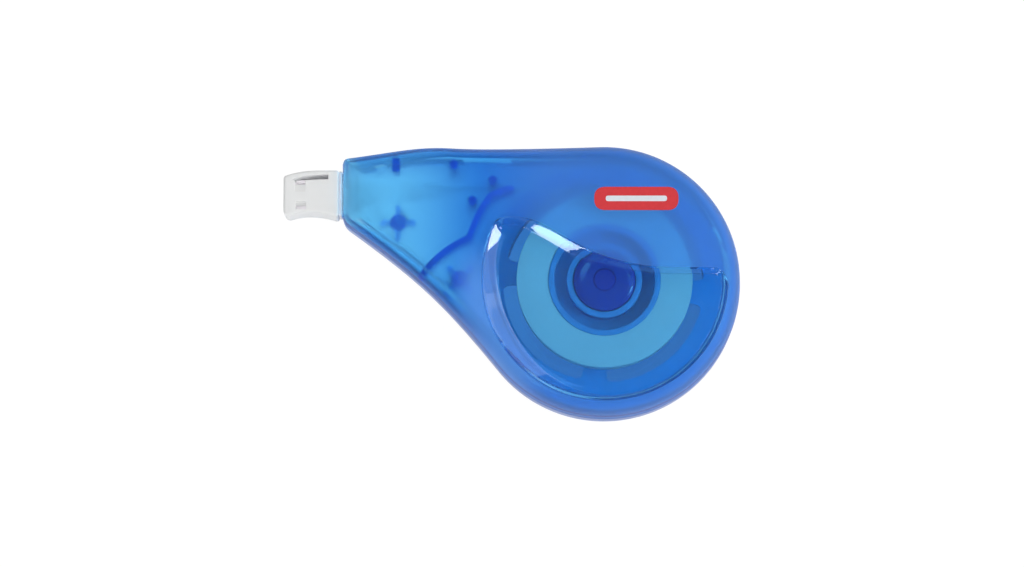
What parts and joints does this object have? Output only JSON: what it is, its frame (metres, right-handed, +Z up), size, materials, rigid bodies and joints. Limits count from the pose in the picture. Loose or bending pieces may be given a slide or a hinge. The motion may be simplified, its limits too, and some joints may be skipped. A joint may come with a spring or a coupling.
{
  "type": "correction tape",
  "caption": "Pocket correction tape in a translucent teardrop casing, with stacked supply and take-up reels, an applicator tip and a pull-off tip cap.",
  "frame": {"origin": "the reel axis where it meets the flat rear face that the casing lies on", "axes": "+X away from the nose and the tip along the casing, +Y across the casing towards its straight upper edge, +Z up along the reel axis towards the window"},
  "size_m": [0.0899, 0.0536, 0.0161],
  "materials": {
    "rear_casing": "translucent, satin",
    "front_casing": "translucent, frosted shoulder and polished window",
    "hub": "polished",
    "tip": "satin",
    "tape": "matt coated",
    "liner": "waxed",
    "core": "satin",
    "clutch": "satin",
    "spool": "satin",
    "cap": "milky, satin"
  },
  "bodies": {
    "casing": {"rear_shell": "rear_casing", "front_shell": "front_casing", "hub_cap": "hub", "applicator_tip": "tip", "tape_run": "tape", "liner_run": "liner"},
    "supply_reel": {"supply_core": "core", "supply_tape": "tape", "clutch_ring": "clutch"},
    "take_up_reel": {"take_up_spool": "spool", "take_up_liner": "liner"},
    "cap": {"tip_cap": "cap"}
  },
  "joints": [
    {"name": "supply_spin", "type": "hinge", "parent": "casing", "child": "supply_reel", "pos_m": [0, 0, 0.01], "axis": [0, 0, 1], "continuous": true},
    {"name": "take_up_spin", "type": "hinge", "parent": "casing", "child": "take_up_reel", "pos_m": [0, 0, 0.005], "axis": [0, 0, 1], "continuous": true},
    {"name": "cap_pull", "type": "slide", "parent": "casing", "child": "cap", "axis": [-1, 0, 0], "range_m": [0, 0.014]}
  ],
  "couplings": [
    {"joint": "take_up_spin", "follows": "supply_spin", "ratio": 0.8222}
  ]
}
